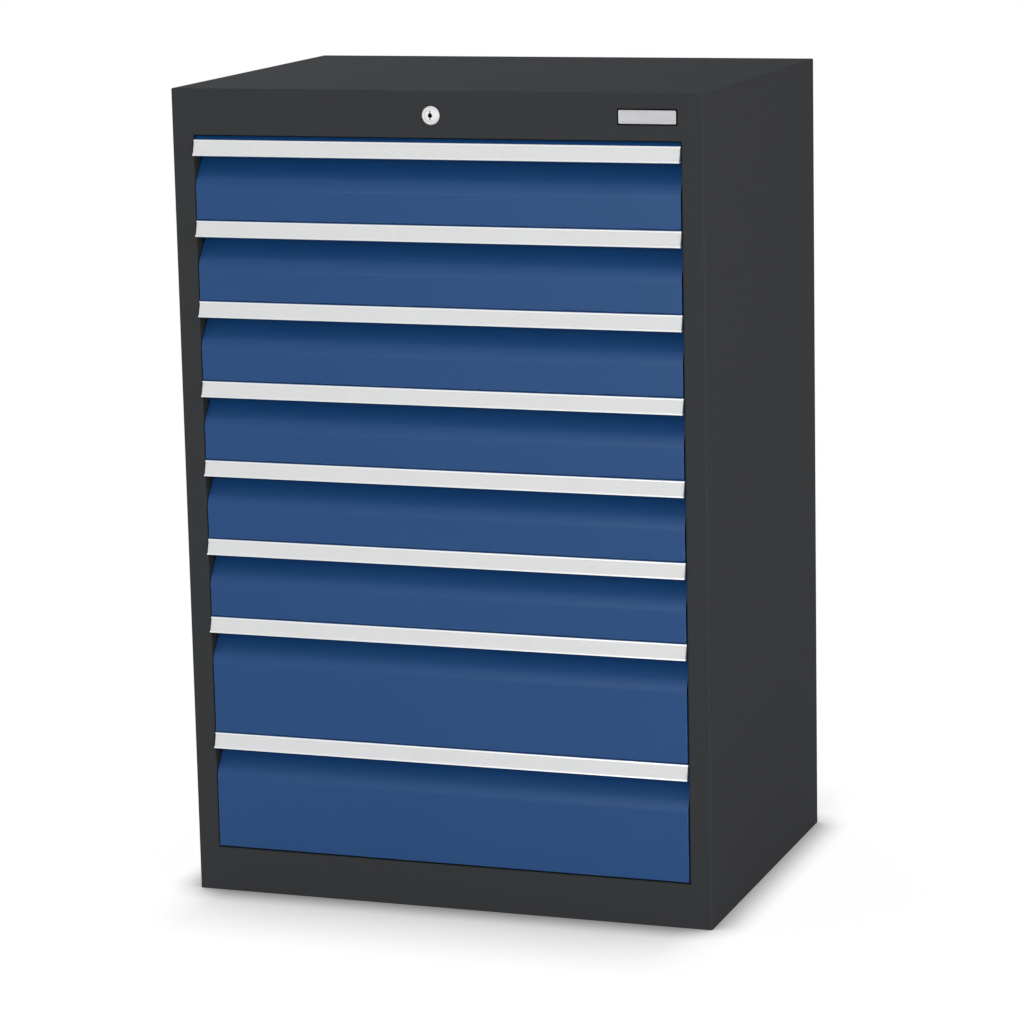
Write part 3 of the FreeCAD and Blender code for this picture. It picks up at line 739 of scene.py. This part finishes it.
front_colour = (0.0030, 0.0480, 0.1680)
front_thin_powder = (0.030, 0.110, 0.260)
front_roughness = (0.40, 0.50)
front_gloss = 0.32
sheet = 0.0012
front_half = 0.3112
front_deep = 0.030
recess_below_top = 0.0636
recess_radius = 0.028
recess_slope = math.radians(38.0)
side_fold = 0.020
rear_fold = 0.020
fold_radius = 0.0012
slope_bend = 0.00174
rear_bend = 0.001
front_cut = 0.00028
front_narrow = 0.0004
relief = 0.003
top_gap = 0.0006
tray_below_top = 0.012
lip_gap = 0.0003
lip_deep = 0.002
lip_lean = 0.0045

front_paint = powder_coat("blue_powder_coat", front_colour, front_thin_powder, marked_edges,
                          front_roughness, front_gloss)


def close(one, other):
    """Whether two sizes are the same, to a hundredth of a millimetre."""
    return abs(one - other) < 0.00001


def folded_front(pitch, lip_top):
    """One front, with its own lower edge at z = 0 and its face at y = 0. Only the topmost
    has a lip turned up at the edge of its top fold."""
    slope_shift = recess_radius * math.tan(recess_slope / 2)
    knee = pitch - recess_below_top + slope_shift
    back = front_deep - sheet
    slope_end = knee + back / math.tan(recess_slope)
    top = pitch - top_gap - sheet
    bpy.ops.mesh.primitive_plane_add(size=1.0, location=(0.0, 0.0, knee / 2), rotation=(quarter, 0.0, 0.0))
    bpy.context.object.scale = (2 * front_half, knee, 1.0)
    front = new_mesh_object("folded_front")

    def across(y, z):
        """Picks the edges that run across the front at this depth and height."""
        pick(front, "edges", lambda e, m: runs_along(e, 0) and close(m.y, y) and close(m.z, z))

    open_mesh("EDGE")
    across(0.0, knee)
    drawn_out((0.0, back, slope_end - knee))
    drawn_out((0.0, 0.0, top - slope_end))
    if lip_top:
        drawn_out((0.0, lip_deep - back, 0.0))
        drawn_out((0.0, lip_lean, lip_top - top))
    else:
        drawn_out((0.0, lip_gap - back, 0.0))
    across(0.0, 0.0)
    drawn_out((0.0, front_deep, 0.0))
    drawn_out((0.0, 0.0, rear_fold))
    across(0.0, knee)
    rounded(slope_shift, 16)
    across(back, slope_end)
    rounded(slope_bend, 5)
    across(0.0, 0.0)
    rounded(fold_radius, 6)
    across(front_deep, 0.0)
    rounded(fold_radius, 4)
    across(back, top)
    rounded(rear_bend, 3)
    if lip_top:
        across(lip_deep, top)
        rounded(fold_radius, 4)
    bpy.ops.mesh.select_all(action="SELECT")
    bpy.ops.mesh.bisect(plane_co=(0.0, 0.0, relief), plane_no=(0.0, 0.0, 1.0))

    def on_side(e, m):
        """Whether an edge lies on a side edge of the face, above the relief."""
        return (close(abs(m.x), front_half) and close(m.y, 0.0) and runs_along(e, 2)
                and relief < m.z < pitch - recess_below_top)

    pick(front, "edges", on_side)
    drawn_out((0.0, side_fold, 0.0))
    pick(front, "edges", on_side)
    rounded(fold_radius, 6)
    bpy.ops.mesh.select_all(action="SELECT")
    bpy.ops.mesh.normals_make_consistent(inside=False)
    close_mesh()
    broad = max(front.data.polygons, key=lambda face: face.area)
    if broad.normal.y > 0:
        front.data.flip_normals()
    thick = front.modifiers.new("thickness", "SOLIDIFY")
    thick.thickness = sheet
    thick.offset = -1.0
    thick.use_even_offset = True
    apply_all(front)
    soften(front, front_cut, angle=50.0)
    mark_edges(front, front_narrow)
    smooth_by_angle(front)
    front.data.materials.append(front_paint)
    return front


def lower_edge(number):
    """Lower edge of a drawer, which is that of its front."""
    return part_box("drawer_%d_front" % number)[0][2]


def pitch_of(number):
    """Height of a drawer, from its tray, whose rim lies a little under the drawer's top."""
    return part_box("drawer_%d_tray" % number)[1][2] + tray_below_top - lower_edge(number)


fronts = {}
for number in drawer_numbers:
    low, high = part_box("drawer_%d_front" % number)
    pitch = round(pitch_of(number), 4)
    lip_top = round(high[2] - low[2], 4) if number == 1 else 0.0
    if (pitch, lip_top) not in fronts:
        fronts[pitch, lip_top] = folded_front(pitch, lip_top)
    front = copied(fronts[pitch, lip_top], "drawer_%d_folded_front" % number, (0.0, case_front, low[2]))
    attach(front, "drawer_%d" % number)
    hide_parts("drawer_%d_front" % number)
for front in fronts.values():
    bpy.data.objects.remove(front)


# Handles and labels
# An extruded, satin anodised aluminium strip across the whole front, leaning forward
# towards its lower edge. Two rims hold a label strip, a leg lies under the fold of the
# front, and a small lip behind the lower edge meets the fingers.

handle_drop = 0.0189
handle_reach = 0.0060
handle_slant = math.hypot(handle_drop, handle_reach)
handle_lean = math.atan2(handle_reach, handle_drop)
rim = 0.002
rim_cover = 0.0008
rim_deep = 0.0007
groove_deep = 0.0012
handle_wall = 0.0015
handle_thick = rim_deep + groove_deep + handle_wall
handle_below_top = top_gap + sheet
leg_reach = 0.014
finger_lip = 0.004
label_thick = 0.0009
label_room = 0.0002
label_edge = 0.00015
handle_half = 0.3118
handle_edge = 0.0003
handle_narrow = 0.0003

aluminium_light = (0.74, 0.74, 0.745)
aluminium_dull = (0.65, 0.65, 0.66)
aluminium_metallic = 0.75
aluminium_roughness = (0.34, 0.5)
along_handle = (0.015, 1.0, 1.0)
handle_lines = 650.0
label_colour = (0.725, 0.723, 0.720)
label_speck = (0.680, 0.678, 0.675)


def satin_metal(name, light, dull, metallic, roughness, stretch, scale):
    """Satin metal: fine lines along the piece, soft clouds, and a painted highlight that makes the edges
    slightly brighter.
    """
    metal, nodes, links, shader, place = new_finish(name)
    shader.inputs["Metallic"].default_value = metallic
    lines = grain(nodes, links, place, scale, 3.0, stretch)
    clouds = grain(nodes, links, place, 9.0, 3.0)
    share = joined(nodes, links, "ADD", spread(nodes, links, lines, 0.0, 0.55),
                   spread(nodes, links, clouds, 0.0, 0.35))
    # Painted highlight: the narrow edge faces are shifted towards the lighter colour.
    painted_edge_highlight = joined(nodes, links, "MULTIPLY", marked_edges(nodes, links, place), 0.4)
    share_with_edge_highlight = joined(nodes, links, "SUBTRACT", share, painted_edge_highlight)
    links.new(two_colours(nodes, links, share_with_edge_highlight, light, dull), shader.inputs["Base Color"])
    links.new(joined(nodes, links, "ADD", spread(nodes, links, lines, roughness[0], roughness[1] - 0.05),
                     spread(nodes, links, clouds, 0.0, 0.05)), shader.inputs["Roughness"])
    rippled(nodes, links, shader, lines, 0.18, 0.00008)
    return metal


def label_board(name):
    """Matt printed board: a fine even grain, a little mottled."""
    board, nodes, links, shader, place = new_finish(name)
    fibres = grain(nodes, links, place, 380.0, 5.0, (0.6, 1.0, 1.0))
    mottle = grain(nodes, links, place, 26.0, 3.0)
    share = joined(nodes, links, "ADD", spread(nodes, links, fibres, 0.0, 0.6),
                   spread(nodes, links, mottle, 0.0, 0.3))
    links.new(two_colours(nodes, links, share, label_colour, label_speck), shader.inputs["Base Color"])
    links.new(spread(nodes, links, fibres, 0.55, 0.72), shader.inputs["Roughness"])
    shader.inputs["Specular IOR Level"].default_value = 0.35
    rippled(nodes, links, shader, fibres, 0.2, 0.0001)
    return board


handle_metal = satin_metal("satin_anodised_aluminium", aluminium_light, aluminium_dull,
                           aluminium_metallic, aluminium_roughness, along_handle, handle_lines)
label_paper = label_board("label_board")


def leaned(piece):
    """Turns a piece that stands upright into the lean of the handle, about its top edge."""
    piece.rotation_euler = (-handle_lean, 0.0, 0.0)
    work_on(piece)
    bpy.ops.object.transform_apply(location=False, rotation=True, scale=False)


def combined(piece, operation, other):
    """Adds the other piece to this one, or cuts it out of it."""
    step = piece.modifiers.new("step", "BOOLEAN")
    step.operation = operation
    step.solver = "EXACT"
    step.object = other
    apply_all(piece)
    bpy.data.objects.remove(other)


def extruded_handle():
    """The handle with its top edge at y = 0, z = 0."""
    strip = new_block("extruded_handle", -handle_half, handle_half, 0.0, handle_thick, -handle_slant, 0.0)
    upper = -rim
    lower = rim - handle_slant
    mouth = rim_deep + groove_deep / 2
    open_mesh("FACE")
    for height in (upper, lower):
        bpy.ops.mesh.select_all(action="SELECT")
        bpy.ops.mesh.bisect(plane_co=(0.0, 0.0, height), plane_no=(0.0, 0.0, 1.0))
    pick(strip, "faces", lambda f, m: looks_along(f, 1, -1.0) and lower < m.z < upper)
    drawn_out((0.0, rim_deep, 0.0))
    drawn_out((0.0, groove_deep, 0.0))
    for height, way in ((upper, 1.0), (lower, -1.0)):
        pick(strip, "faces", lambda f, m: looks_along(f, 2, -way) and close(m.y, mouth)
             and close(m.z, height))
        drawn_out((0.0, 0.0, way * rim_cover))
    close_mesh()
    leaned(strip)
    lip_from = -handle_reach + 2 * handle_wall
    leg = new_block("leg", -front_half, front_half, rim_deep, leg_reach, -handle_wall, 0.0)
    lip = new_block("lip", -handle_half, handle_half, lip_from, lip_from + finger_lip, -handle_drop,
                    handle_wall - handle_drop)
    combined(strip, "UNION", leg)
    combined(strip, "UNION", lip)
    soften(strip, handle_edge, segments=3, angle=30.0)
    mark_edges(strip, handle_narrow)
    smooth_by_angle(strip, round_smooth)
    strip.data.materials.append(handle_metal)
    return strip


def label_strip():
    """The strip of board that lies behind the rims, with a little room all round."""
    edge = rim - rim_cover + label_room
    face = rim_deep + label_room / 2
    half = handle_half - label_room
    board = new_block("label_strip", -half, half, face, face + label_thick, edge - handle_slant, -edge)
    leaned(board)
    soften(board, label_edge, segments=1)
    smooth_by_angle(board)
    board.data.materials.append(label_paper)
    return board


one_handle = extruded_handle()
one_label = label_strip()
for number in drawer_numbers:
    top_edge = lower_edge(number) + pitch_of(number) - handle_below_top
    shift = (0.0, case_front, top_edge)
    handle = copied(one_handle, "drawer_%d_extruded_handle" % number, shift)
    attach(handle, "drawer_%d" % number)
    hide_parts("drawer_%d_handle" % number)
    label = copied(one_label, "drawer_%d_label_strip" % number, shift)
    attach(label, "drawer_%d" % number)
    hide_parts("drawer_%d_label" % number)
bpy.data.objects.remove(one_handle)
bpy.data.objects.remove(one_label)


# Lock
# A nickel-plated cam lock: a turned housing with a flange that lies on the fascia and a
# stepped, conical collar, and a plug with an upright keyway.

lock_low, lock_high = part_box("lock_housing")
lock_axis = Vector((0.0, case_front, (lock_low[2] + lock_high[2]) / 2))
flange_radius = 0.0112
flange_thick = 0.0012
collar_radius = 0.0103
collar_proud = 0.0028
cone_radius = 0.0094
cone_proud = 0.0036
lock_edge = 0.0003
lock_narrow = 0.0002
lock_sides = 96
barrel_radius = 0.0095
barrel_long = 0.028
bore_radius = 0.0074
plug_radius = 0.0072
plug_proud = 0.0033
plug_crown = 0.0003
plug_rim = 0.0007
plug_past_barrel = 0.0005
plug_edge = 0.00015
plug_narrow = 0.0001
tang_half = 0.0035
tang_end = 0.0315
keyway_half = 0.0057
keyway_wide = 0.0013
keyway_eye = 0.0028
keyway_deep = 0.006
keyway_lit = 0.0004
keyway_past = 0.001
keyway_room = 0.0002
cutter_past = 0.002

nickel_light = (0.70, 0.70, 0.705)
nickel_dull = (0.62, 0.62, 0.63)
nickel_metallic = 0.5
nickel_roughness = (0.42, 0.55)
nickel_lines = 300.0
keyway_black = (0.002, 0.002, 0.002)
keyway_brown = (0.008, 0.007, 0.006)


def keyway_painted_shade(name):
    """Painted shade for the inside of the keyway: near black with a faint brown smear, and dull."""
    dark, nodes, links, shader, place = new_finish(name)
    smear = grain(nodes, links, place, 900.0, 3.0)
    links.new(two_colours(nodes, links, smear, keyway_black, keyway_brown), shader.inputs["Base Color"])
    links.new(spread(nodes, links, smear, 0.5, 0.8), shader.inputs["Roughness"])
    shader.inputs["Specular IOR Level"].default_value = 0.05
    return dark


def turned(name, radius, y0, y1):
    """A round bar along Y about the lock's axis."""
    middle = lock_axis + Vector((0.0, (y0 + y1) / 2, 0.0))
    bpy.ops.mesh.primitive_cylinder_add(vertices=lock_sides, radius=radius, depth=y1 - y0,
                                        location=middle, rotation=(quarter, 0.0, 0.0))
    return new_mesh_object(name)


nickel = satin_metal("nickel_plate", nickel_light, nickel_dull, nickel_metallic, nickel_roughness,
                     None, nickel_lines)

housing = turned("lock_turned_housing", flange_radius, -flange_thick, 0.0)
open_mesh("FACE")
pick(housing, "faces", lambda f, m: looks_along(f, 1, 1.0))
bpy.ops.mesh.inset(thickness=flange_radius - barrel_radius)
drawn_out((0.0, barrel_long, 0.0))
pick(housing, "faces", lambda f, m: looks_along(f, 1, -1.0))
bpy.ops.mesh.inset(thickness=flange_radius - collar_radius)
drawn_out((0.0, flange_thick - collar_proud, 0.0))
bpy.ops.mesh.inset(thickness=collar_radius - cone_radius)
bpy.ops.transform.translate(value=(0.0, collar_proud - cone_proud, 0.0))
close_mesh()
bore = turned("bore", bore_radius, -cone_proud - cutter_past, barrel_long + cutter_past)
combined(housing, "DIFFERENCE", bore)
soften(housing, lock_edge, segments=3, angle=30.0)
mark_edges(housing, lock_narrow)
smooth_by_angle(housing, round_smooth)
housing.data.materials.append(nickel)
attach(housing, "case")
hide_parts("lock_housing")

mouth = case_front - plug_proud
plug = turned("lock_turned_plug", plug_radius, plug_crown - plug_proud, barrel_long + plug_past_barrel)
open_mesh("FACE")
pick(plug, "faces", lambda f, m: looks_along(f, 1, -1.0))
bpy.ops.mesh.inset(thickness=plug_rim)
drawn_out((0.0, -plug_crown, 0.0))
close_mesh()
slit = new_block("slit", -keyway_wide / 2, keyway_wide / 2, mouth - cutter_past, mouth + keyway_deep,
                 lock_axis.z - keyway_half, lock_axis.z + keyway_half)
combined(plug, "DIFFERENCE", slit)
eye = turned("eye", keyway_eye, -plug_proud - cutter_past, keyway_deep - plug_proud)
combined(plug, "DIFFERENCE", eye)
tang = new_block("tang", -tang_half, tang_half, case_front + barrel_long, case_front + tang_end,
                 lock_axis.z - tang_half, lock_axis.z + tang_half)
combined(plug, "UNION", tang)
soften(plug, plug_edge, angle=30.0)
mark_edges(plug, plug_narrow)
smooth_by_angle(plug, round_smooth)
plug.data.materials.append(nickel)
plug.data.materials.append(keyway_painted_shade("keyway_painted_shade"))
# Faces inside the keyway, past its lit mouth, take the painted shade.
for face in plug.data.polygons:
    inside = mouth + keyway_lit < face.center.y < mouth + keyway_deep + keyway_past
    if inside and (face.center.xz - lock_axis.xz).length < keyway_half + keyway_room:
        face.material_index = 1
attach(plug, "lock_plug_and_cam")
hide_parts("lock_plug")


# Nameplate
# A bare stamped plate of satin aluminium on a thin near-black backing, a little larger than the plate,
# which shows as a dark outline round it near the right end of the fascia.

plate_low, plate_high = (Vector(corner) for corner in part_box("nameplate"))
backing_edge = 0.0008
backing_corner = 0.0018
backing_thick = 0.0004
backing_face = 0.0001
plate_edge = 0.0010
plate_corner = 0.0014
plate_face = 0.00025
border_in = 0.0008
border_wide = 0.0002
border_deep = 0.00012
plate_narrow = 0.0002
plate_broad = 0.0001
plate_smooth = 25.0

plate_light = (0.49, 0.49, 0.50)
plate_dull = (0.42, 0.425, 0.435)
plate_metallic = 0.35
plate_roughness = (0.45, 0.60)
along_plate = (0.05, 1.0, 1.0)
plate_lines = 420.0
backing_black = (0.002, 0.002, 0.002)
backing_grey = (0.007, 0.007, 0.008)


def dark_outline_backing(name):
    """Matt near black with a fine speckle: the backing that shows as a dark outline round the plate."""
    foam, nodes, links, shader, place = new_finish(name)
    speckle = grain(nodes, links, place, 1500.0, 3.0)
    links.new(two_colours(nodes, links, speckle, backing_black, backing_grey), shader.inputs["Base Color"])
    links.new(spread(nodes, links, speckle, 0.7, 0.95), shader.inputs["Roughness"])
    shader.inputs["Specular IOR Level"].default_value = 0.03
    return foam


def round_plate(name, low, high, corner, face):
    """A flat plate with round corners and one softened face."""
    plate = new_block(name, low.x, high.x, low.y, high.y, low.z, high.z)
    open_mesh("EDGE")
    pick(plate, "edges", lambda e, m: runs_along(e, 1))
    rounded(corner, 8)
    pick(plate, "edges", lambda e, m: close(m.y, low.y) and not runs_along(e, 1))
    rounded(face, 3)
    close_mesh()
    return plate


plate_metal = satin_metal("satin_plate", plate_light, plate_dull, plate_metallic, plate_roughness,
                          along_plate, plate_lines)
rim_around = Vector((backing_edge, 0.0, backing_edge))
backing_low = Vector((plate_low.x, plate_high.y - backing_thick, plate_low.z))
backing = round_plate("nameplate_backing", backing_low - rim_around, plate_high + rim_around,
                      backing_corner, backing_face)
smooth_by_angle(backing, round_smooth)
backing.data.materials.append(dark_outline_backing("dark_backing"))
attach(backing, "case")

shown_part = Vector((plate_edge, 0.0, plate_edge))
plate = round_plate("nameplate_stamped", plate_low + shown_part,
                    plate_high - shown_part - Vector((0.0, backing_thick, 0.0)), plate_corner, plate_face)
open_mesh("FACE")
pick(plate, "faces", lambda f, m: looks_along(f, 1, -1.0) and f.calc_area() > plate_broad)
bpy.ops.mesh.inset(thickness=border_in)
bpy.ops.mesh.inset(thickness=border_wide)
bpy.ops.transform.translate(value=(0.0, border_deep, 0.0))
close_mesh()
mark_edges(plate, plate_narrow)
smooth_by_angle(plate, plate_smooth)
plate.data.materials.append(plate_metal)
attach(plate, "case")
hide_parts("nameplate")


# Closing
# The view keeps plain display settings.

scene.view_settings.view_transform = "Standard"
bpy.ops.object.select_all(action="DESELECT")
